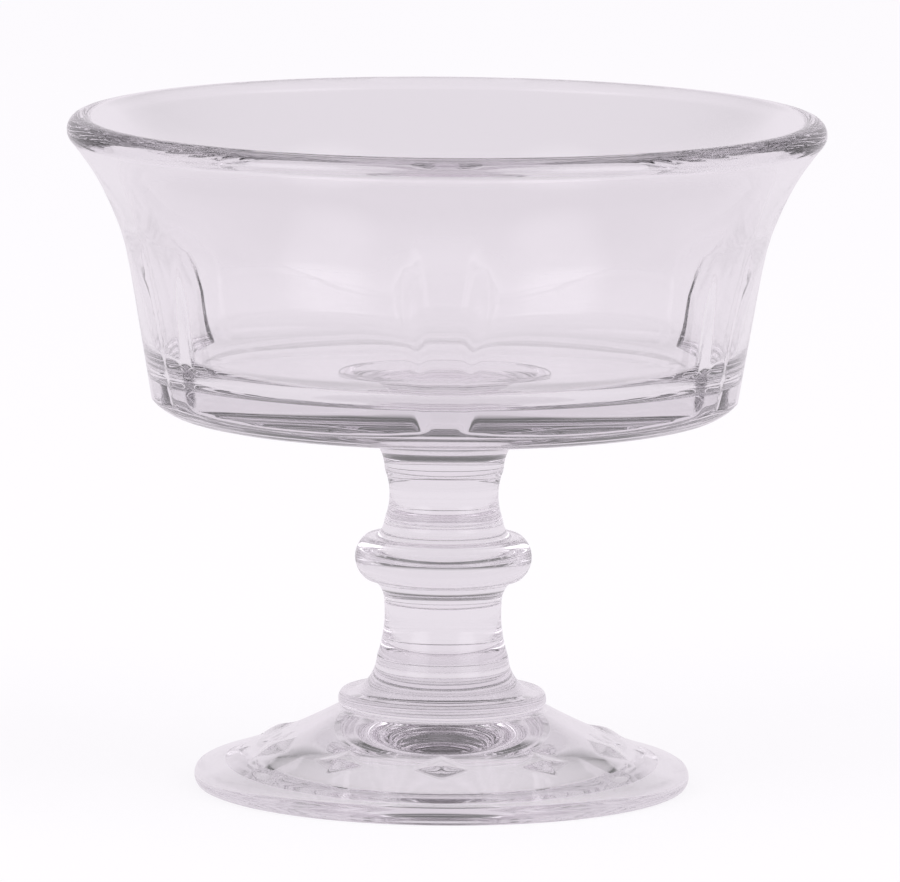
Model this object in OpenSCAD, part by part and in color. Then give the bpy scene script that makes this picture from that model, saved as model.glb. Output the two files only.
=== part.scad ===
// Footed sherbet glass: a flared bowl with arched panels on a short knopped stem and a round foot.
// Seven pieces of glass are stuck end to end, each on a flat ground seat. Millimetres, +Z up, base on Z = 0.

/* [Bowl] */
// Radius of the bowl over its lip
rim_r = 51.1; // [46:0.1:58]
// Height of the bowl from its flat underside to the lip
bowl_h = 40.2; // [34:0.1:48]
// Radius of the round lip
lip_r = 2; // [1.4:0.1:2.4]
// Radius where the wall, drawn straight, meets the underside
base_r = 40.1; // [37:0.1:43]
// Reach of the flared lip beyond the wall, drawn straight up to the lip
flare_out = 4.2; // [3.2:0.1:5]
// Radius of the turn from the underside to the wall
heel_r = 6; // [4:0.1:8]
// Height above the underside at which the wall starts to flare
flare_start = 23.6; // [20:0.1:26]

/* [Inside of the bowl] */
// Thickness of the floor
floor_t = 5.6; // [4:0.1:8]
// Thickness of the wall at the floor, measured level
wall_floor_t = 3.4; // [3:0.1:5]
// Thickness of the straight wall if it ran on up to the lip, measured level
wall_top_t = 2.7; // [2.4:0.1:4]
// Radius of the turn from the floor to the inside wall
well_heel_r = 6; // [3:0.1:9]

/* [Arched panels] */
// Number of panels round the bowl
panel_count = 6; // [4:1:6]
// Width of a panel
panel_w = 36; // [30:0.1:38]
// Depth of a panel below the round wall, at its middle
panel_depth = 0.9; // [0.6:0.1:1.2]
// Depth of a panel where its face would reach the lip
panel_lip_depth = 0; // [0:0.1:0.8]
// Radius of a panel's face, which is flatter than the wall
panel_round = 44; // [42:1:60]
// Height of a panel's crown above the underside
panel_h = 30; // [26:0.1:32]
// Radius of the arch at a panel's head
arch_r = 30; // [20:0.1:40]
// Turn of the first panel from +X, in degrees
panel_turn = 0; // [-30:1:30]

/* [Bowl merese] */
// Radius of the disc under the bowl
bowl_merese_r = 14; // [12:0.1:20]
// Height of the piece
bowl_merese_h = 7.7; // [6.5:0.1:9]
// Radius of the sweep below the disc
bowl_merese_sweep = 5.7; // [4:0.1:6.3]

/* [Stem] */
// Radius of the seat between the bowl merese and the upper shank
upper_seat_r = 8.05; // [7:0.05:9]
// Height of the upper shank
upper_shank_h = 6.8; // [5:0.1:10]
// Radius of the upper shank's hollow waist
upper_waist = 9; // [7:0.1:16]
// Radius of the seat between the upper shank and the knop
knop_top_r = 8; // [7:0.05:8.6]
// Radius of the seat between the knop and the lower shank
knop_foot_r = 7.95; // [7:0.05:8.6]
// Height of the lower shank
lower_shank_h = 7.6; // [5:0.1:12]
// Radius of the lower shank's hollow waist
lower_waist = 18; // [9:0.1:24]
// Radius of the seat between the lower shank and the foot merese
lower_seat_r = 8.9; // [8:0.05:10]

/* [Ring knop] */
// Radius of the ring
knop_r = 11.95; // [11:0.05:14]
// Thickness of the ring
knop_t = 5.8; // [4:0.1:7]
// Radius of the ring's bulged rim
knop_bulge = 3.6; // [3.55:0.05:8]
// Height of the sweep below the ring
knop_foot_h = 3.1; // [2.5:0.1:3.4]
// Radius of the sweep below the ring
knop_foot_sweep = 3.5; // [3.3:0.1:6]
// Height of the sweep above the ring
knop_top_h = 2.3; // [1.8:0.1:2.7]
// Radius of the sweep above the ring
knop_top_sweep = 2.8; // [2.6:0.1:6]

/* [Foot merese] */
// Radius of the disc on the foot
foot_merese_r = 14.1; // [13:0.1:17]
// Thickness of the disc
foot_merese_t = 2.4; // [1.8:0.1:3.2]
// Height of the piece
foot_merese_h = 7; // [5.5:0.1:10]
// Radius of the disc where the sweep meets it
foot_merese_neck = 11.8; // [11:0.1:12.6]
// Radius of the sweep above the disc
foot_merese_sweep = 5.5; // [4.5:0.1:9]
// Radius of the disc's bulged rim
foot_merese_bulge = 1.7; // [1.65:0.05:4]

/* [Foot] */
// Radius of the foot
foot_r = 33.5; // [29:0.1:38]
// Height of the foot at its middle
foot_h = 10.4; // [8:0.1:13]
// Radius of the flat seat on top of the foot
foot_seat_r = 14.4; // [14.2:0.1:18]
// Thickness of the foot's rim
foot_rim_t = 2.4; // [2:0.1:3.4]
// Radius of the foot's bulged rim
foot_bulge = 1.8; // [1.7:0.05:3]
// Radius of the hollow sweep from the seat to the rim
foot_sweep = 92; // [40:1:160]
// Width of the flat ring that the glass stands on
rest_w = 7; // [4:0.1:10]
// Rise of the hollow under the foot
hollow_h = 6.2; // [4:0.1:7]

/* [Hidden] */
$fn = 180;

// Levels of the seats, from the table up
foot_merese_z = foot_h;
lower_shank_z = foot_merese_z + foot_merese_h;
knop_z = lower_shank_z + lower_shank_h;
knop_h = knop_foot_h + knop_t + knop_top_h;
upper_shank_z = knop_z + knop_h;
bowl_merese_z = upper_shank_z + upper_shank_h;
bowl_z = bowl_merese_z + bowl_merese_h;

// A turned corner stands this far past the lines it joins, so that they cross it cleanly
bead = 0.05;
// The flare leaves the wall this much steeper than the wall, in degrees
flare_kick = 4;
// Room past the glass for whatever cuts it
past = 2;

// The outside wall, drawn straight from the underside to the lip's level
wall_lean = atan((rim_r - flare_out - base_r) / bowl_h);
// The inside wall, drawn straight from the floor to the lip's level
well_r = base_r + floor_t * tan(wall_lean) - wall_floor_t;
well_lean = atan((rim_r - flare_out - wall_top_t - well_r) / (bowl_h - floor_t));

// Middle of the round lip, and the points just inside its round where the two flares run into it
lip_c = [rim_r - lip_r, bowl_h - lip_r];
lip_sunk = 0.9 * lip_r;
lip_outer = lip_c + lip_sunk * [cos(-35), sin(-35)];
lip_inner = lip_c + lip_sunk * [cos(160), sin(160)];
// A panel's face runs straight on below the underside by this much, so that it dies out on the heel
panel_sink = heel_r + past;
// The axis of a panel's face lies this far behind the bowl's own axis
panel_back = panel_round - base_r + panel_depth;

// Centre of a circle of radius r through p and the higher point q, on their outer side
function arc_centre(p, q, r) =
    let (d = q - p, l = norm(d))
    (p + q) / 2 + sqrt(r * r - l * l / 4) * [d.y, -d.x] / l;

// Radius of the arc that leaves p at a degrees from upright and ends at q
function arc_radius(p, q, a) =
    let (d = q - p)
    d * d / (2 * d * [cos(a), -sin(a)]);

// Half section of a flared cup: flat base, turned heel, leaning wall, and a flare that ends at tip
module cup_2d(z0, r0, lean, heel, flare_z, tip, top) {
    wall = [r0 + (flare_z - z0) * tan(lean), flare_z];
    start = lean + flare_kick;
    flare = arc_radius(wall, tip, start);
    heel_z = z0 + heel - bead;
    heel_x = r0 + (heel_z - z0) * tan(lean) + bead / cos(lean) - heel / cos(lean);
    polygon([
        [0, z0],
        [heel_x, z0],
        [heel_x + heel * cos(lean) - bead, heel_z - heel * sin(lean)],
        wall + [tan(lean), 1],
        [0, flare_z + 1],
    ]);
    translate([heel_x, heel_z]) circle(heel);
    difference() {
        polygon([
            [0, flare_z - 1],
            [tip.x + past, flare_z - 1],
            tip + past * [1, (tip.y - top.y) / (tip.x - top.x)],
            top,
            [0, top.y],
        ]);
        translate(wall + flare * [cos(start), -sin(start)]) circle(flare);
    }
}

module bowl_outside_2d() {
    cup_2d(0, base_r, wall_lean, heel_r, flare_start, lip_outer, lip_inner);
}

module bowl_inside_2d() {
    cup_2d(floor_t, well_r, well_lean, well_heel_r, flare_start, lip_inner,
        [lip_inner.x - past, bowl_h + past]);
}

// Face of a panel, seen edge on: the bowl's own outline without its heel, set in by the panel's depth
module panel_face_2d() {
    sunk_r = base_r - panel_depth - panel_sink * tan(wall_lean);
    cup_2d(-panel_sink, sunk_r, wall_lean, heel_r, flare_start - past,
        lip_outer - [panel_lip_depth, 0], lip_inner - [past, 0]);
}

// Outline of a panel, seen from outside: upright sides under a low arch
module panel_outline_2d() {
    intersection() {
        translate([-panel_w / 2, -past]) square([panel_w, panel_h + 2 * past]);
        union() {
            translate([0, panel_h - arch_r]) circle(arch_r);
            translate([-arch_r + bead, -past]) square([2 * (arch_r - bead), panel_h - arch_r + past]);
        }
    }
}

module panel_cut() {
    reach = rim_r + past;
    intersection() {
        rotate([90, 0, 90]) linear_extrude(reach) panel_outline_2d();
        translate([-panel_back, 0, 0]) rotate_extrude() translate([panel_back, 0]) difference() {
            translate([base_r / 2, -past]) square([reach - base_r / 2, panel_h + 2 * past]);
            panel_face_2d();
        }
    }
}

// A disc with a bulged rim
module disc_2d(r, t, bulge) {
    intersection() {
        square([r + past, t]);
        union() {
            square([r - bulge, t]);
            translate([r - bulge, t / 2]) circle(bulge);
        }
    }
}

// A waisted length between two seats
module spool_2d(foot_seat, top_seat, h, waist) {
    c = arc_centre([foot_seat, 0], [top_seat, h], waist);
    difference() {
        square([c.x, h]);
        translate(c) circle(waist);
    }
}

module bowl() {
    color([0.9, 0.87, 0.91, 0.6]) translate([0, 0, bowl_z]) difference() {
        rotate_extrude() {
            difference() {
                bowl_outside_2d();
                bowl_inside_2d();
            }
            translate(lip_c) circle(lip_r);
        }
        for (i = [0 : panel_count - 1])
            rotate([0, 0, panel_turn + i * 360 / panel_count]) panel_cut();
    }
}

module bowl_merese() {
    color([0.86, 0.83, 0.88, 0.6]) translate([0, 0, bowl_merese_z]) rotate_extrude() difference() {
        square([bowl_merese_r, bowl_merese_h]);
        translate([upper_seat_r + bowl_merese_sweep, 0]) circle(bowl_merese_sweep);
    }
}

module upper_shank() {
    color([0.9, 0.87, 0.91, 0.6]) translate([0, 0, upper_shank_z]) rotate_extrude()
        spool_2d(knop_top_r, upper_seat_r, upper_shank_h, upper_waist);
}

module ring_knop() {
    color([0.86, 0.83, 0.88, 0.6]) translate([0, 0, knop_z]) rotate_extrude() {
        translate([0, knop_foot_h]) disc_2d(knop_r, knop_t, knop_bulge);
        difference() {
            square([knop_foot_r + knop_foot_sweep, knop_foot_h + knop_t / 2]);
            translate([knop_foot_r + knop_foot_sweep, 0]) circle(knop_foot_sweep);
        }
        translate([0, knop_foot_h + knop_t / 2]) difference() {
            square([knop_top_r + knop_top_sweep, knop_top_h + knop_t / 2]);
            translate([knop_top_r + knop_top_sweep, knop_top_h + knop_t / 2]) circle(knop_top_sweep);
        }
    }
}

module lower_shank() {
    color([0.9, 0.87, 0.91, 0.6]) translate([0, 0, lower_shank_z]) rotate_extrude()
        spool_2d(lower_seat_r, knop_foot_r, lower_shank_h, lower_waist);
}

module foot_merese() {
    color([0.86, 0.83, 0.88, 0.6]) translate([0, 0, foot_merese_z]) rotate_extrude() {
        disc_2d(foot_merese_r, foot_merese_t, foot_merese_bulge);
        translate([0, foot_merese_t])
            spool_2d(foot_merese_neck, lower_seat_r, foot_merese_h - foot_merese_t, foot_merese_sweep);
    }
}

module foot() {
    hollow_r = foot_r - foot_bulge - rest_w;
    hollow = (hollow_r * hollow_r + hollow_h * hollow_h) / (2 * hollow_h);
    color([0.9, 0.87, 0.91, 0.6]) rotate_extrude() intersection() {
        union() {
            square([foot_r - foot_bulge, foot_h]);
            translate([foot_r - foot_bulge, foot_rim_t / 2]) circle(foot_bulge);
        }
        difference() {
            square([foot_r + past, foot_h]);
            translate(arc_centre([foot_r, foot_rim_t], [foot_seat_r, foot_h], foot_sweep))
                circle(foot_sweep);
            translate([0, hollow_h - hollow]) circle(hollow);
        }
    }
}

bowl();
bowl_merese();
upper_shank();
ring_knop();
lower_shank();
foot_merese();
foot();
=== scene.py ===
import math
import bpy
import numpy as np
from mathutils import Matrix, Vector


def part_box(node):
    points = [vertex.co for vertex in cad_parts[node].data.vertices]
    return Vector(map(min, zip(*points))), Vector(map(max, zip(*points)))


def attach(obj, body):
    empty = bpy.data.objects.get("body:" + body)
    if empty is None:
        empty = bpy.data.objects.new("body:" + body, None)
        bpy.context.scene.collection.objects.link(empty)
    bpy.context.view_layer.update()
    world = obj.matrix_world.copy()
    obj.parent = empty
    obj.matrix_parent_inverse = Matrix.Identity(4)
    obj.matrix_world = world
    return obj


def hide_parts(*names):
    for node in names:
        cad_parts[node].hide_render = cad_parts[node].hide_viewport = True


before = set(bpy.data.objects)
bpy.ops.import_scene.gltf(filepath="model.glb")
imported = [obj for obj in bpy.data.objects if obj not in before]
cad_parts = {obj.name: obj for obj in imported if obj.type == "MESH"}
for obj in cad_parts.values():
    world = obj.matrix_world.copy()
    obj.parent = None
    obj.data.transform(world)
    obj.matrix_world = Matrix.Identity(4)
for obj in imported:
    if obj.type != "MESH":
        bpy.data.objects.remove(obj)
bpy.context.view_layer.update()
scene = bpy.context.scene
mm = 0.001
print("frame loaded:", ", ".join(sorted(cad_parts)))


def linear(hexColour):
    # sRGB hex to the linear colour that shaders take
    parts = [int(hexColour[i:i + 2], 16) / 255 for i in (0, 2, 4)]
    return [c / 12.92 if c <= 0.04045 else ((c + 0.055) / 1.055) ** 2.4 for c in parts] + [1]


def addNode(tree, kind, inputs=None, **settings):
    # an input takes a plain value, a socket, or a node whose first output is linked
    made = tree.nodes.new(kind)
    for name, value in settings.items():
        setattr(made, name, value)
    for name, value in (inputs or {}).items():
        if isinstance(value, bpy.types.Node):
            value = value.outputs[0]
        if isinstance(value, bpy.types.NodeSocket):
            tree.links.new(value, made.inputs[name])
        else:
            made.inputs[name].default_value = value
    return made


# Outlines, in millimetres: radius from the axis and height above the piece's own seat


def arc(centre, radius, start, end, steps=40):
    turns = np.radians(np.linspace(start, end, steps + 1))
    return [(centre[0] + radius * math.cos(a), centre[1] + radius * math.sin(a)) for a in turns]


def hollowArc(low, high, radius, steps=40):
    # waist between two seats, its centre out beyond the glass
    dr, dz = high[0] - low[0], high[1] - low[1]
    length = math.hypot(dr, dz)
    out = math.sqrt(radius ** 2 - length ** 2 / 4) / length
    centre = ((low[0] + high[0]) / 2 + out * dz, (low[1] + high[1]) / 2 - out * dr)
    turns = (math.atan2(p[1] - centre[1], p[0] - centre[0]) for p in (low, high))
    start, end = (math.degrees(a) % 360 for a in turns)
    return arc(centre, radius, start, end, steps)


def flareCurve(start, startLean, end, endLean, pull, steps=60):
    # smooth curve between two points, its leans in degrees from upright
    reach = pull * math.dist(start, end)
    leans = (math.radians(startLean), math.radians(endLean))
    away, back = (reach * np.array([math.sin(a), math.cos(a)]) for a in leans)
    p0, p3 = np.array(start), np.array(end)
    p1, p2 = p0 + away, p3 - back
    t = np.linspace(0, 1, steps + 1)[:, None]
    curve = (1 - t) ** 3 * p0 + 3 * t * (1 - t) ** 2 * p1 + 3 * t ** 2 * (1 - t) * p2 + t ** 3 * p3
    return [tuple(p) for p in curve]


def along(points, step):
    # the same line with evenly spaced points
    line = np.array(points, float)
    run = np.concatenate([[0], np.cumsum(np.hypot(*np.diff(line, axis=0).T))])
    keep = np.concatenate([[True], np.diff(run) > 1e-9])
    line, run = line[keep], run[keep]
    even = np.linspace(0, run[-1], max(2, int(run[-1] / step) + 1))
    return np.stack([np.interp(even, run, line[:, k]) for k in (0, 1)], 1)


def fireRounded(points, softness, step=0.04):
    # fire polishing rounds every corner: the line is blurred over that many millimetres
    line = along(points, step)
    half = int(3 * softness / step)
    weights = np.exp(-0.5 * (np.arange(-half, half + 1) * step / softness) ** 2)
    weights /= weights.sum()
    ends = [line[:1] + (line[:1] - line[1:2]) * np.arange(half, 0, -1)[:, None],
            line[-1:] + (line[-1:] - line[-2:-1]) * np.arange(1, half + 1)[:, None]]
    padded = np.concatenate([ends[0], line, ends[1]])
    soft = np.stack([np.convolve(padded[:, k], weights, "valid") for k in (0, 1)], 1)
    soft[0, 0] = soft[-1, 0] = 0
    return soft


def rowsOf(line, turn=1.1, longest=0.5, fine=None):
    # few rows on straight stretches, more where the outline turns or fine(r, z, i) gives a smaller step
    kept, run, turned = [0], 0.0, 0.0
    steps = np.diff(line, axis=0)
    headings = np.degrees(np.unwrap(np.arctan2(steps[:, 1], steps[:, 0])))
    for i in range(1, len(line) - 1):
        run += math.hypot(*steps[i - 1])
        turned += abs(headings[i] - headings[i - 1])
        limit = fine(*line[i], i) if fine else longest
        if turned >= turn or run >= min(limit, longest):
            kept.append(i)
            run, turned = 0.0, 0.0
    return np.array(kept + [len(line) - 1])


# One tree turns every piece: an outline goes round the axis, and where asked it takes panels or lozenges

treeInputs = {
    "Steps round": "NodeSocketInt",
    "Panels": "NodeSocketInt",
    "Panel width": "NodeSocketFloat",
    "Arch radius": "NodeSocketFloat",
    "Crown level": "NodeSocketFloat",
    "Panel turn": "NodeSocketFloat",
    "Panel back": "NodeSocketFloat",
    "Panel edge": "NodeSocketFloat",
    "Arch edge": "NodeSocketFloat",
    "Lozenges": "NodeSocketInt",
    "Lozenge ring": "NodeSocketFloat",
    "Lozenge width": "NodeSocketFloat",
    "Lozenge length": "NodeSocketFloat",
    "Lozenge height": "NodeSocketFloat",
    "Lozenge turn": "NodeSocketFloat",
    "Glass": "NodeSocketMaterial",
}


def turnedGlassTree():
    tree = bpy.data.node_groups.new("turned glass", "GeometryNodeTree")
    tree.interface.new_socket(name="Outline", in_out="INPUT", socket_type="NodeSocketGeometry")
    for name, kind in treeInputs.items():
        tree.interface.new_socket(name=name, in_out="INPUT", socket_type=kind)
    tree.interface.new_socket(name="Piece", in_out="OUTPUT", socket_type="NodeSocketGeometry")
    given = addNode(tree, "NodeGroupInput").outputs
    calc = "ShaderNodeMath"

    # a grid of rows and columns, each row at its outline point
    size = addNode(tree, "GeometryNodeAttributeDomainSize", {"Geometry": given["Outline"]}, component="MESH")
    rows = size.outputs["Point Count"]
    columns = addNode(tree, calc, {0: given["Steps round"], 1: 1.0}, operation="ADD")
    grid = addNode(tree, "GeometryNodeMeshGrid", {"Vertices X": columns, "Vertices Y": rows})
    index = addNode(tree, "GeometryNodeInputIndex")
    row = addNode(tree, calc, {0: index, 1: rows}, operation="MODULO")
    share = addNode(tree, calc, {0: index, 1: rows}, operation="DIVIDE")
    column = addNode(tree, calc, {0: share}, operation="FLOOR")
    part = addNode(tree, calc, {0: column, 1: given["Steps round"]}, operation="DIVIDE")
    angle = addNode(tree, calc, {0: part, 1: 2 * math.pi}, operation="MULTIPLY")
    place = addNode(tree, "GeometryNodeInputPosition")
    taken = addNode(tree, "GeometryNodeSampleIndex",
                    {"Geometry": given["Outline"], "Value": place, "Index": row}, data_type="FLOAT_VECTOR")
    split = addNode(tree, "ShaderNodeSeparateXYZ", {0: taken})
    radius, level = split.outputs["X"], split.outputs["Z"]
    marks = {}
    for mark in ("panelDepth", "seat"):
        named = addNode(tree, "GeometryNodeInputNamedAttribute", {"Name": mark}, data_type="FLOAT")
        marks[mark] = addNode(tree, "GeometryNodeSampleIndex",
                              {"Geometry": given["Outline"], "Value": named, "Index": row}, data_type="FLOAT")

    # arched panels: faces flatter than the round wall, sunk into it
    pitch = addNode(tree, calc, {0: 2 * math.pi, 1: given["Panels"]}, operation="DIVIDE")
    halfPitch = addNode(tree, calc, {0: pitch, 1: 0.5}, operation="MULTIPLY")
    minusHalf = addNode(tree, calc, {0: pitch, 1: -0.5}, operation="MULTIPLY")
    turned = addNode(tree, calc, {0: angle, 1: given["Panel turn"]}, operation="SUBTRACT")
    off = addNode(tree, calc, {0: turned, 1: halfPitch, 2: minusHalf}, operation="WRAP")
    sine = addNode(tree, calc, {0: off}, operation="SINE")
    cosine = addNode(tree, calc, {0: off}, operation="COSINE")
    across = addNode(tree, calc, {0: radius, 1: sine}, operation="MULTIPLY")
    sunk = addNode(tree, calc, {0: radius, 1: marks["panelDepth"]}, operation="SUBTRACT")
    faceRound = addNode(tree, calc, {0: sunk, 1: given["Panel back"]}, operation="ADD")
    roundSq = addNode(tree, calc, {0: faceRound, 1: faceRound}, operation="MULTIPLY")
    backSine = addNode(tree, calc, {0: given["Panel back"], 1: sine}, operation="MULTIPLY")
    sineSq = addNode(tree, calc, {0: backSine, 1: backSine}, operation="MULTIPLY")
    faceSq = addNode(tree, calc, {0: roundSq, 1: sineSq}, operation="SUBTRACT")
    faceRun = addNode(tree, calc, {0: faceSq}, operation="SQRT")
    backCosine = addNode(tree, calc, {0: given["Panel back"], 1: cosine}, operation="MULTIPLY")
    face = addNode(tree, calc, {0: faceRun, 1: backCosine}, operation="SUBTRACT")
    gap = addNode(tree, calc, {0: radius, 1: face}, operation="SUBTRACT")
    recess = addNode(tree, calc, {0: gap, 1: 0.0}, operation="MAXIMUM")
    aside = addNode(tree, calc, {0: across}, operation="ABSOLUTE")
    halfWidth = addNode(tree, calc, {0: given["Panel width"], 1: 0.5}, operation="MULTIPLY")
    sideRoom = addNode(tree, calc, {0: halfWidth, 1: aside}, operation="SUBTRACT")
    archLevel = addNode(tree, calc, {0: given["Crown level"], 1: given["Arch radius"]}, operation="SUBTRACT")
    rise = addNode(tree, calc, {0: level, 1: archLevel}, operation="SUBTRACT")
    above = addNode(tree, calc, {0: rise, 1: 0.0}, operation="MAXIMUM")
    acrossSq = addNode(tree, calc, {0: across, 1: across}, operation="MULTIPLY")
    fromArch = addNode(tree, calc, {0: above, 1: above, 2: acrossSq}, operation="MULTIPLY_ADD")
    archRun = addNode(tree, calc, {0: fromArch}, operation="SQRT")
    archRoom = addNode(tree, calc, {0: given["Arch radius"], 1: archRun}, operation="SUBTRACT")
    between = addNode(tree, "ShaderNodeMapRange", {"Value": sideRoom, "From Max": given["Panel edge"]},
                      interpolation_type="SMOOTHSTEP")
    below = addNode(tree, "ShaderNodeMapRange", {"Value": archRoom, "From Max": given["Arch edge"]},
                    interpolation_type="SMOOTHSTEP")
    inside = addNode(tree, calc, {0: between, 1: below}, operation="MULTIPLY")
    isPanel = addNode(tree, calc, {0: marks["panelDepth"], 1: 0.0}, operation="GREATER_THAN")
    cut = addNode(tree, calc, {0: recess, 1: inside}, operation="MULTIPLY")
    cutHere = addNode(tree, calc, {0: cut, 1: isPanel}, operation="MULTIPLY")
    wallRadius = addNode(tree, calc, {0: radius, 1: cutHere}, operation="SUBTRACT")

    # lozenges: low four-sided swells in a ring on the slope
    lozPitch = addNode(tree, calc, {0: 2 * math.pi, 1: given["Lozenges"]}, operation="DIVIDE")
    lozHalf = addNode(tree, calc, {0: lozPitch, 1: 0.5}, operation="MULTIPLY")
    lozMinus = addNode(tree, calc, {0: lozPitch, 1: -0.5}, operation="MULTIPLY")
    lozTurned = addNode(tree, calc, {0: angle, 1: given["Lozenge turn"]}, operation="SUBTRACT")
    lozOff = addNode(tree, calc, {0: lozTurned, 1: lozHalf, 2: lozMinus}, operation="WRAP")
    lozSine = addNode(tree, calc, {0: lozOff}, operation="SINE")
    lozAcross = addNode(tree, calc, {0: radius, 1: lozSine}, operation="MULTIPLY")
    lozAside = addNode(tree, calc, {0: lozAcross}, operation="ABSOLUTE")
    lozWide = addNode(tree, calc, {0: given["Lozenge width"], 1: 0.5}, operation="MULTIPLY")
    lozShareA = addNode(tree, calc, {0: lozAside, 1: lozWide}, operation="DIVIDE")
    lozIn = addNode(tree, calc, {0: radius, 1: given["Lozenge ring"]}, operation="SUBTRACT")
    lozIn = addNode(tree, calc, {0: lozIn}, operation="ABSOLUTE")
    lozLong = addNode(tree, calc, {0: given["Lozenge length"], 1: 0.5}, operation="MULTIPLY")
    lozShareB = addNode(tree, calc, {0: lozIn, 1: lozLong}, operation="DIVIDE")
    lozShare = addNode(tree, calc, {0: lozShareA, 1: lozShareB}, operation="ADD")
    lozLeft = addNode(tree, calc, {0: 1.0, 1: lozShare}, operation="SUBTRACT")
    lozPoint = addNode(tree, "ShaderNodeMapRange", {"Value": lozLeft}, interpolation_type="SMOOTHSTEP")
    lozRise = addNode(tree, calc, {0: lozPoint, 1: given["Lozenge height"]}, operation="MULTIPLY")
    onSlope = addNode(tree, calc, {0: level, 1: given["Crown level"]}, operation="GREATER_THAN")
    lozHere = addNode(tree, calc, {0: lozRise, 1: onSlope}, operation="MULTIPLY")
    height = addNode(tree, calc, {0: level, 1: lozHere}, operation="ADD")

    east = addNode(tree, calc, {0: angle}, operation="COSINE")
    north = addNode(tree, calc, {0: angle}, operation="SINE")
    x = addNode(tree, calc, {0: wallRadius, 1: east}, operation="MULTIPLY")
    y = addNode(tree, calc, {0: wallRadius, 1: north}, operation="MULTIPLY")
    spot = addNode(tree, "ShaderNodeCombineXYZ", {"X": x, "Y": y, "Z": height})
    seated = addNode(tree, "GeometryNodeStoreNamedAttribute",
                     {"Geometry": grid.outputs["Mesh"], "Name": "seat", "Value": marks["seat"]},
                     data_type="FLOAT", domain="POINT")
    spun = addNode(tree, "GeometryNodeSetPosition", {"Geometry": seated, "Position": spot})
    closed = addNode(tree, "GeometryNodeMergeByDistance", {"Geometry": spun, "Distance": 0.001 * mm})
    smooth = addNode(tree, "GeometryNodeSetShadeSmooth", {"Geometry": closed, "Shade Smooth": True})
    real = addNode(tree, "GeometryNodeRealizeInstances", {"Geometry": smooth})
    glazed = addNode(tree, "GeometryNodeSetMaterial", {"Geometry": real, "Material": given["Glass"]})
    addNode(tree, "NodeGroupOutput", {"Piece": glazed})
    return tree


# Materials

glassLook = {
    "colour": "FCFBFC",
    "depthColour": "E2DFE3",  # tint that deepens with the glass's thickness: greyish, faintly lilac
    "depthDensity": 10.0,     # how fast it deepens, to the metre
    "index": 1.52,
    "roughness": 0.0,
    "waveMm": 9.0,            # width of the slow waves that a mould and fire polishing leave
    "waveHeightMm": 0.012,
    "fusedFrom": 0.99,        # a face counts as a fused seat from this mark on
}


def pressedGlass():
    # clear pressed soda-lime glass, fire-polished: clean gloss, slow waves that bend what shows through, and
    # a grey that deepens where the glass is thick, as in the stem and the foot
    material = bpy.data.materials.new("pressed soda-lime glass")
    material.use_nodes = True
    tree = material.node_tree
    shader = tree.nodes["Principled BSDF"]
    shader.inputs["Base Color"].default_value = linear(glassLook["colour"])
    shader.inputs["Transmission Weight"].default_value = 1.0
    shader.inputs["Roughness"].default_value = glassLook["roughness"]
    where = addNode(tree, "ShaderNodeTexCoord")
    waves = addNode(tree, "ShaderNodeTexNoise", {
        "Vector": where.outputs["Object"],
        "Scale": 1 / (glassLook["waveMm"] * mm),
        "Detail": 1.0,
        "Roughness": 0.4,
    })
    bump = addNode(tree, "ShaderNodeBump", {
        "Strength": 1.0,
        "Distance": glassLook["waveHeightMm"] * mm,
        "Height": waves.outputs["Fac"],
    })
    tree.links.new(bump.outputs["Normal"], shader.inputs["Normal"])
    # pieces are stuck together hot, so light crosses a fused seat without a bend
    seat = addNode(tree, "ShaderNodeAttribute", attribute_name="seat")
    fused = addNode(tree, "ShaderNodeMath", {0: seat.outputs["Fac"], 1: glassLook["fusedFrom"]},
                    operation="GREATER_THAN")
    bend = addNode(tree, "ShaderNodeMath", {0: fused, 1: 1 - glassLook["index"], 2: glassLook["index"]},
                   operation="MULTIPLY_ADD")
    tree.links.new(bend.outputs[0], shader.inputs["IOR"])
    depth = addNode(tree, "ShaderNodeVolumeAbsorption",
                    {"Color": linear(glassLook["depthColour"]), "Density": glassLook["depthDensity"]})
    tree.links.new(depth.outputs[0], tree.nodes["Material Output"].inputs["Volume"])
    return material


glass = pressedGlass()
tree = turnedGlassTree()
sockets = {item.name: item.identifier for item in tree.interface.items_tree if item.in_out == "INPUT"}
print("materials and tree made")


# a turned piece with neither panels nor lozenges
plainTurning = {
    "Steps round": 300,
    "Panels": 1,
    "Panel width": 1.0,
    "Arch radius": 1.0,
    "Crown level": 1.0,
    "Panel turn": 0.0,
    "Panel back": 0.0,
    "Panel edge": 1.0,
    "Arch edge": 1.0,
    "Lozenges": 1,
    "Lozenge ring": 1.0,
    "Lozenge width": 1.0,
    "Lozenge length": 1.0,
    "Lozenge height": 0.0,
    "Lozenge turn": 0.0,
}


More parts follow.
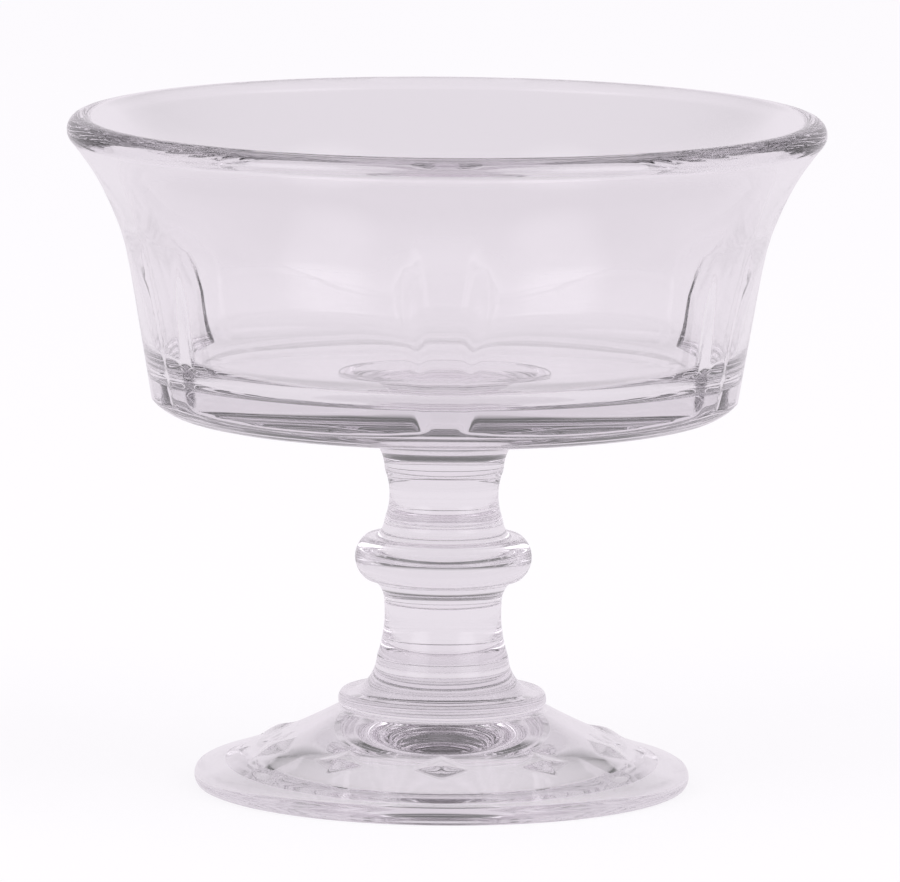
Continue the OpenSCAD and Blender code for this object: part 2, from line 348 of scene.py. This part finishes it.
def turnPiece(name, node, rows, panelDepth, seat, settings):
    # rows in millimetres above the node's own seat; fused seats lap by a hair, so that no air is left between
    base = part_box(node)[0].z
    middle = heightOf(node) / 2
    rows = rows + np.stack([0 * seat, np.where(rows[:, 1] > middle, lap, -lap) * seat], 1)
    outline = bpy.data.meshes.new(name + "_outline")
    points = [(r * mm, 0, base + z * mm) for r, z in rows]
    outline.from_pydata(points, [(i, i + 1) for i in range(len(points) - 1)], [])
    for mark, values in (("panelDepth", panelDepth * mm), ("seat", seat)):
        layer = outline.attributes.new(mark, "FLOAT", "POINT")
        layer.data.foreach_set("value", np.asarray(values, np.float32))
    piece = bpy.data.objects.new(name, outline)
    scene.collection.objects.link(piece)
    spin = piece.modifiers.new("turned glass", "NODES")
    spin.node_group = tree
    for label, value in {**plainTurning, "Glass": glass, **settings}.items():
        spin[sockets[label]] = value
    bpy.context.view_layer.update()
    made = bpy.data.meshes.new_from_object(piece.evaluated_get(bpy.context.evaluated_depsgraph_get()))
    piece.modifiers.clear()
    piece.data = made
    made.name = name
    bpy.data.meshes.remove(outline)
    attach(piece, "root")
    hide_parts(node)
    made.calc_loop_triangles()
    print(name, "turned:", len(rows), "rows,", len(made.loop_triangles), "triangles")
    return piece


def seatMarks(line, lowSeat, highSeat, high):
    # 1 where a row lies on a fused seat
    onLow = (np.abs(line[:, 1]) < 1e-6) & (line[:, 0] <= lowSeat + 1e-6)
    onHigh = (np.abs(line[:, 1] - high) < 1e-6) & (line[:, 0] <= highSeat + 1e-6)
    return (onLow | onHigh).astype(float)


def heightOf(node):
    low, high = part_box(node)
    return (high.z - low.z) / mm


# the seats' radii, from the foot up
seats = {"foot": 13.6, "lowerShank": 8.9, "knopFoot": 7.95, "knopTop": 8.0, "bowlMerese": 8.05, "bowl": 14.0}
polish = 0.16        # rounding of corners
flat = 3.2 * polish  # a seat is flat up to this far in from its edge
lap = 0.004          # fused pieces lap by this much


def turnPlain(name, node, outline, lowSeat, highSeat, settings=None, **spacing):
    # a piece with a seat at each end, None where there is none
    line = fireRounded(outline, polish)
    rows = line[rowsOf(line, **spacing)]
    low = lowSeat - flat if lowSeat else -1
    high = highSeat - flat if highSeat else -1
    marks = seatMarks(rows, low, high, heightOf(node))
    return turnPiece(name, node, rows, np.zeros(len(rows)), marks, settings or {})


foot = {
    "rimBulge": 1.8,
    "rimThick": 2.4,
    "seat": 14.4,
    "sweep": 92.0,
    "sweepStart": 0.2,    # the slope starts this far in from the rim
    "restWidth": 7.0,
    "restRound": 2.2,     # half the length of the soft turn from the hollow to the resting ring
    "restPull": 0.4,      # how full that turn is
    "hollow": 6.2,
    "lozenges": 10,
    "lozengeRing": 23.6,
    "lozengeWidth": 8.4,
    "lozengeLength": 6.4,
    "lozengeHeight": 0.6,
    "lozengeTurn": 18.0,
    "lozengeRows": 0.22,  # closest rows, on the lozenges
    "rowMargin": 0.4,     # and this far round them
    "rowTurn": 1.6,
    "rowRun": 1.2,
    "stepsRound": 480,
}


def makeFoot():
    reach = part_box("foot")[1].x / mm
    high = heightOf("foot")
    rim = (reach - foot["rimBulge"], foot["rimThick"] / 2)
    hollowReach = rim[0] - foot["restWidth"]
    hollowRound = (hollowReach ** 2 + foot["hollow"] ** 2) / (2 * foot["hollow"])
    turnStart = hollowReach - foot["restRound"]
    hollowTurn = math.degrees(math.asin(turnStart / hollowRound))
    edge = math.degrees(math.asin(rim[1] / foot["rimBulge"]))
    outline = arc((0, foot["hollow"] - hollowRound), hollowRound, 90, 90 - hollowTurn)
    restStart = (hollowReach + foot["restRound"], 0)
    outline += flareCurve(outline[-1], 90 + hollowTurn, restStart, 90, foot["restPull"])
    outline += arc(rim, foot["rimBulge"], -edge, edge)
    slope = hollowArc((reach, foot["rimThick"]), (foot["seat"], high), foot["sweep"])
    outline += [p for p in slope if p[0] < outline[-1][0] - foot["sweepStart"]]
    outline += [(seats["foot"], high), (0, high)]
    ring, half = foot["lozengeRing"], foot["lozengeLength"] / 2 + foot["rowMargin"]

    def fine(r, z, i):
        return foot["lozengeRows"] if abs(r - ring) < half and z > foot["rimThick"] else foot["rowRun"]

    return turnPlain("foot_glass", "foot", outline, None, seats["foot"], {
        "Steps round": foot["stepsRound"],
        "Crown level": foot["rimThick"] * mm,
        "Lozenges": foot["lozenges"],
        "Lozenge ring": ring * mm,
        "Lozenge width": foot["lozengeWidth"] * mm,
        "Lozenge length": foot["lozengeLength"] * mm,
        "Lozenge height": foot["lozengeHeight"] * mm,
        "Lozenge turn": math.radians(foot["lozengeTurn"]),
    }, turn=foot["rowTurn"], longest=foot["rowRun"], fine=fine)


footMerese = {"thick": 2.4, "bulge": 1.7, "neck": 11.8, "sweep": 5.5}


def discEdge(reach, bottom, thick, bulge):
    turn = math.degrees(math.asin(thick / 2 / bulge))
    return arc((reach - bulge, bottom + thick / 2), bulge, -turn, turn)


def makeFootMerese():
    high = heightOf("foot_merese")
    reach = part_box("foot_merese")[1].x / mm
    outline = [(0, 0)] + discEdge(reach, 0, footMerese["thick"], footMerese["bulge"])
    neck = (footMerese["neck"], footMerese["thick"])
    outline += hollowArc(neck, (seats["lowerShank"], high), footMerese["sweep"])
    outline += [(0, high)]
    return turnPlain("foot_merese_glass", "foot_merese", outline, seats["foot"], seats["lowerShank"])


shanks = {"lowerWaist": 18.0, "upperWaist": 9.0}


def makeShank(name, node, lowSeat, highSeat, waist):
    high = heightOf(node)
    outline = [(0, 0)] + hollowArc((lowSeat, 0), (highSeat, high), waist) + [(0, high)]
    return turnPlain(name, node, outline, lowSeat, highSeat)


ringKnop = {
    "thick": 5.8,
    "bulge": 3.6,
    "footHeight": 3.1,
    "footSweep": 3.5,
    "topHeight": 2.3,
    "topSweep": 2.8,
}


def makeRingKnop():
    high = heightOf("ring_knop")
    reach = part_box("ring_knop")[1].x / mm
    k = ringKnop
    lowTurn = math.degrees(math.asin(k["footHeight"] / k["footSweep"]))
    topTurn = math.degrees(math.asin(k["topHeight"] / k["topSweep"]))
    outline = [(0, 0)]
    outline += arc((seats["knopFoot"] + k["footSweep"], 0), k["footSweep"], 180, 180 - lowTurn)
    outline += discEdge(reach, k["footHeight"], k["thick"], k["bulge"])
    outline += arc((seats["knopTop"] + k["topSweep"], high), k["topSweep"], 180 + topTurn, 180)
    outline += [(0, high)]
    return turnPlain("ring_knop_glass", "ring_knop", outline, seats["knopFoot"], seats["knopTop"])


bowlMerese = {"sweep": 5.7}


def makeBowlMerese():
    high = heightOf("bowl_merese")
    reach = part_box("bowl_merese")[1].x / mm
    sweep = bowlMerese["sweep"]
    outline = [(0, 0)] + arc((seats["bowlMerese"] + sweep, 0), sweep, 180, 90)
    outline += [(reach, sweep), (reach, high), (0, high)]
    return turnPlain("bowl_merese_glass", "bowl_merese", outline, seats["bowlMerese"], seats["bowl"])


bowl = {
    "base": 40.1,
    "flareOut": 4.2,
    "heel": 6.0,
    "flareStart": 18.0,
    "flarePull": 0.42,
    "lip": 2.0,
    "lipLean": 40.0,
    "floor": 5.6,
    "wallAtFloor": 3.4,
    "wallAtTop": 2.7,
    "wellHeel": 6.0,
    "panels": 6,
    "panelWidth": 38.0,  # to the outer side of its softened edges
    "panelDepth": 0.9,
    "panelRound": 44.0,
    "panelFlare": 2.0,   # a panel's face flares from this much lower than the wall
    "panelCrown": 33.0,
    "archRound": 30.0,
    "panelTurn": 0.0,
    "panelEdge": 2.0,    # width of the soft slope at a panel's sides
    "archEdge": 10.0,    # and at its arch
    "archRows": 0.36,    # closest rows, at the arches
    "archBand": 9.0,     # height that has them
    "rowTurn": 3.5,
    "rowRun": 3.0,
    "stepsRound": 576,
}


def makeBowl():
    low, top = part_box("bowl")
    high, reach = (top.z - low.z) / mm, top.x / mm
    b = bowl
    lean = math.atan2(reach - b["flareOut"] - b["base"], high)
    well = b["base"] + b["floor"] * math.tan(lean) - b["wallAtFloor"]
    wellLean = math.atan2(reach - b["flareOut"] - b["wallAtTop"] - well, high - b["floor"])

    def heelArc(edge, level, slope, radius):
        # turn from a flat floor to a leaning wall
        middle = (edge + radius * math.tan(slope) - radius / math.cos(slope), level + radius)
        return arc(middle, radius, -90, -math.degrees(slope))

    def flare(edge, level, slope, start, end):
        # from the leaning wall out to the lip
        spring = (edge + (start - level) * math.tan(slope), start)
        return flareCurve(spring, math.degrees(slope), end, b["lipLean"], b["flarePull"])

    lipMiddle = (reach - b["lip"], high - b["lip"])
    lip = arc(lipMiddle, b["lip"], -b["lipLean"], 180 - b["lipLean"])
    outside = [(0, 0)] + heelArc(b["base"], 0, lean, b["heel"])
    outside += flare(b["base"], 0, lean, b["flareStart"], lip[0])
    inside = heelArc(well, b["floor"], wellLean, b["wellHeel"])
    inside += flare(well, b["floor"], wellLean, b["flareStart"], lip[-1])
    # a panel's face runs straight down and dies out on the heel, and it runs out at the lip
    sunk = b["base"] - b["panelDepth"]
    face = np.array([(sunk, 0)] + flare(sunk, 0, lean, b["flareStart"] - b["panelFlare"], lip[0]))
    outline = outside + lip[1:-1] + inside[::-1] + [(0, b["floor"])]
    line = fireRounded(outline, polish)
    peak = int(np.argmax(line[:, 1]))
    crown = b["panelCrown"] + 1

    def fine(r, z, i):
        return b["archRows"] if i < peak and crown - b["archBand"] < z < crown else b["rowRun"]

    kept = rowsOf(line, turn=b["rowTurn"], longest=b["rowRun"], fine=fine)
    rows = line[kept]
    onWall = (kept < peak) & (rows[:, 0] > b["base"] - b["heel"])
    depth = np.maximum(rows[:, 0] - np.interp(rows[:, 1], face[:, 1], face[:, 0]), 0)
    marks = seatMarks(rows, seats["bowl"] - flat, -1, high)
    return turnPiece("bowl_glass", "bowl", rows, depth * onWall, marks, {
        "Steps round": b["stepsRound"],
        "Panels": b["panels"],
        "Panel width": b["panelWidth"] * mm,
        "Arch radius": b["archRound"] * mm,
        "Crown level": low.z + b["panelCrown"] * mm,
        "Panel turn": math.radians(b["panelTurn"]),
        "Panel back": (b["panelRound"] - b["base"] + b["panelDepth"]) * mm,
        "Panel edge": b["panelEdge"] * mm,
        "Arch edge": b["archEdge"] * mm,
    })


makeFoot()
makeFootMerese()
makeShank("lower_shank_glass", "lower_shank", seats["lowerShank"], seats["knopFoot"], shanks["lowerWaist"])
makeRingKnop()
makeShank("upper_shank_glass", "upper_shank", seats["knopTop"], seats["bowlMerese"], shanks["upperWaist"])
makeBowlMerese()
makeBowl()
print("seven pieces made")


# Floor, backdrop and light

stage = {
    "white": "FEFCFF",
    "inGlass": "EDE7EE",  # the backdrop and the floor as they show in and through the glass
    "floorSize": 6.0,
    "floorGlow": 0.86,    # share of the floor that shows as plain white, the rest takes the shadow
    "floorGlowIn": 0.95,  # the same for the floor seen in and through the glass
    "wrapLight": 0.75,    # light from the backdrop on matt surfaces
    "horizon": 0.3,       # up to this height of the sky, of 1, the backdrop is pale
    "midLevel": 0.5,
    "midGrey": 0.15,
    "zenithLevel": 0.95,
    "zenithGrey": 0.18,
    "windows": [(-1.3, -1.3, 0.38), (1.3, -1.2, 0.38)],  # bright patches of the tent, mirrored in the glass
    "windowGlow": 1.1,
    "windowSharp": 5.0,   # a patch is full within this angle of its middle, in degrees
    "windowSoft": 25.0,   # and fades out by this one
    "lamps": {"key softbox": (-1.1, -0.9, 1.3), "fill softbox": (1.2, -0.6, 1.1)},
    "lampPower": 12.0,
    "lampSize": 1.2,
    "lampAim": 0.05,
}


def glassRays(tree, path):
    # 1 for what shows in and through the glass
    mirrored, through = path.outputs["Is Glossy Ray"], path.outputs["Is Transmission Ray"]
    return addNode(tree, "ShaderNodeMath", {0: mirrored, 1: through}, operation="MAXIMUM")


def makeFloor():
    half = stage["floorSize"] / 2
    sheet = bpy.data.meshes.new("floor")
    corners = [(-half, -half, 0), (half, -half, 0), (half, half, 0), (-half, half, 0)]
    sheet.from_pydata(corners, [], [(0, 1, 2, 3)])
    material = bpy.data.materials.new("white paper sweep")
    material.use_nodes = True
    tree = material.node_tree
    tree.nodes.clear()
    path = addNode(tree, "ShaderNodeLightPath")
    straight = addNode(tree, "ShaderNodeMath", {0: path.outputs["Is Camera Ray"], 1: stage["floorGlow"]},
                       operation="MULTIPLY")
    bent = addNode(tree, "ShaderNodeMath", {0: glassRays(tree, path), 1: stage["floorGlowIn"]},
                   operation="MULTIPLY")
    paper = addNode(tree, "ShaderNodeBsdfDiffuse", {"Color": linear(stage["white"])})
    white = addNode(tree, "ShaderNodeEmission", {"Color": linear(stage["white"]), "Strength": 1.0})
    grey = addNode(tree, "ShaderNodeEmission", {"Color": linear(stage["inGlass"]), "Strength": 1.0})
    shown = addNode(tree, "ShaderNodeMixShader", {0: straight, 1: paper, 2: white})
    mixed = addNode(tree, "ShaderNodeMixShader", {0: bent, 1: shown, 2: grey})
    addNode(tree, "ShaderNodeOutputMaterial", {"Surface": mixed})
    sheet.materials.append(material)
    floor = bpy.data.objects.new("floor", sheet)
    scene.collection.objects.link(floor)


def makeWorld():
    # a white tent that shows greyer in the glass and dark overhead, with two soft windows at the front
    world = bpy.data.worlds.new("tent")
    scene.world = world
    world.use_nodes = True
    tree = world.node_tree
    tree.nodes.clear()
    where = addNode(tree, "ShaderNodeTexCoord")
    up = addNode(tree, "ShaderNodeSeparateXYZ", {0: where.outputs["Generated"]})
    ramp = addNode(tree, "ShaderNodeValToRGB", {"Fac": up.outputs["Z"]})
    stops = ramp.color_ramp.elements
    stops[0].position, stops[0].color = stage["horizon"], linear(stage["inGlass"])
    stops[1].position, stops[1].color = stage["zenithLevel"], [stage["zenithGrey"]] * 3 + [1]
    middle = stops.new(stage["midLevel"])
    middle.color = [stage["midGrey"]] * 3 + [1]
    path = addNode(tree, "ShaderNodeLightPath")
    soft = addNode(tree, "ShaderNodeBackground",
                   {"Color": linear(stage["white"]), "Strength": stage["wrapLight"]})
    white = addNode(tree, "ShaderNodeBackground", {"Color": linear(stage["white"]), "Strength": 1.0})
    grey = addNode(tree, "ShaderNodeBackground", {"Color": ramp, "Strength": 1.0})
    shown = addNode(tree, "ShaderNodeMixShader", {0: path.outputs["Is Camera Ray"], 1: soft, 2: white})
    mixed = addNode(tree, "ShaderNodeMixShader", {0: glassRays(tree, path), 1: shown, 2: grey})
    for place in stage["windows"]:
        middleOf = Vector(place).normalized()
        near = addNode(tree, "ShaderNodeVectorMath", {0: where.outputs["Generated"], 1: middleOf},
                       operation="DOT_PRODUCT")
        patch = addNode(tree, "ShaderNodeMapRange", {
            "Value": near.outputs["Value"],
            "From Min": math.cos(math.radians(stage["windowSoft"])),
            "From Max": math.cos(math.radians(stage["windowSharp"])),
            "To Max": stage["windowGlow"],
        }, interpolation_type="SMOOTHSTEP")
        mirrored = addNode(tree, "ShaderNodeMath", {0: patch, 1: path.outputs["Is Glossy Ray"]},
                           operation="MULTIPLY")
        bright = addNode(tree, "ShaderNodeBackground",
                         {"Color": linear(stage["white"]), "Strength": mirrored})
        mixed = addNode(tree, "ShaderNodeAddShader", {0: mixed, 1: bright})
    addNode(tree, "ShaderNodeOutputWorld", {"Surface": mixed})


def makeLamp(name, place):
    lamp = bpy.data.lights.new(name, "AREA")
    lamp.energy = stage["lampPower"]
    lamp.size = stage["lampSize"]
    body = bpy.data.objects.new(name, lamp)
    body.location = place
    aim = Vector((0, 0, stage["lampAim"])) - body.location
    body.rotation_euler = aim.to_track_quat("-Z", "Y").to_euler()
    body.visible_glossy = body.visible_transmission = False
    scene.collection.objects.link(body)


makeFloor()
makeWorld()
for name, place in stage["lamps"].items():
    makeLamp(name, place)
print("floor, tent and lamps made")


# Camera: a long lens, seen from a little above

camera = {
    "imageWidth": 900,
    "imageHeight": 882,
    "distance": 1.4,
    "height": 0.24704,
    "aim": 0.045,
    "aimPixel": (444.3, 454.0),
    "pixelsPerRadian": 10481.5,
    "roll": 0.5,
}


def makeCamera():
    c = camera
    lens = bpy.data.cameras.new("camera")
    lens.sensor_width = 36.0
    lens.lens = lens.sensor_width * c["pixelsPerRadian"] / c["imageWidth"]
    lens.shift_x = (c["imageWidth"] / 2 - c["aimPixel"][0]) / c["imageWidth"]
    lens.shift_y = (c["aimPixel"][1] - c["imageHeight"] / 2) / c["imageWidth"]
    lens.clip_end = 100.0
    body = bpy.data.objects.new("camera", lens)
    body.location = (0, -c["distance"], c["height"])
    aim = Vector((0, 0, c["aim"])) - body.location
    body.rotation_euler = aim.to_track_quat("-Z", "Y").to_euler()
    body.rotation_euler.rotate_axis("Z", math.radians(c["roll"]))
    scene.collection.objects.link(body)
    scene.camera = body


makeCamera()
scene.view_settings.view_transform = "Standard"
bounces = 32  # light crosses many faces of glass
scene.cycles.max_bounces = bounces
scene.cycles.transmission_bounces = bounces
scene.cycles.glossy_bounces = bounces
scene.cycles.transparent_max_bounces = bounces
print("camera set")
